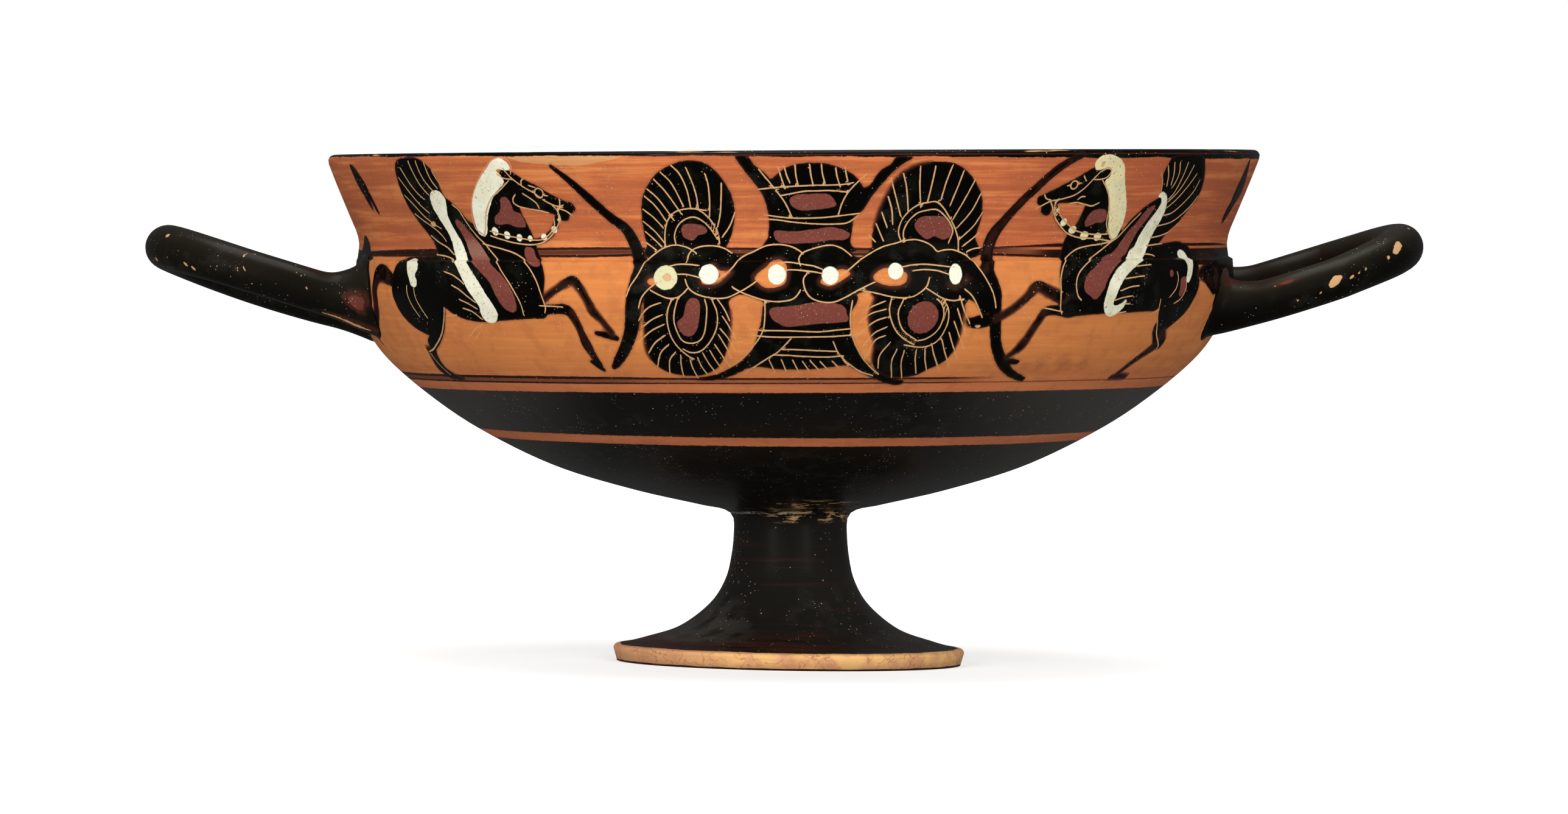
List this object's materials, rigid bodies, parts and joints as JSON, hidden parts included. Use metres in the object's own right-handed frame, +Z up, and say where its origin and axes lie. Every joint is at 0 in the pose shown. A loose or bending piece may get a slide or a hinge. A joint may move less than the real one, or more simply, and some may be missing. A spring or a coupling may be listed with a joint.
{
  "type": "kylix cup",
  "caption": "Wide shallow drinking cup on a short stemmed foot, with a flaring lip set off by a ledge and two rising horizontal loop handles.",
  "frame": {"origin": "centre of the foot's resting ring, on the plane it stands on", "axes": "+Z up, X along the two handles, -Y out of the front of the cup"},
  "size_m": [0.3516, 0.256, 0.1433],
  "materials": {
    "fired_clay": "satin"
  },
  "bodies": {
    "root": {"cup": "fired_clay"}
  },
  "joints": []
}
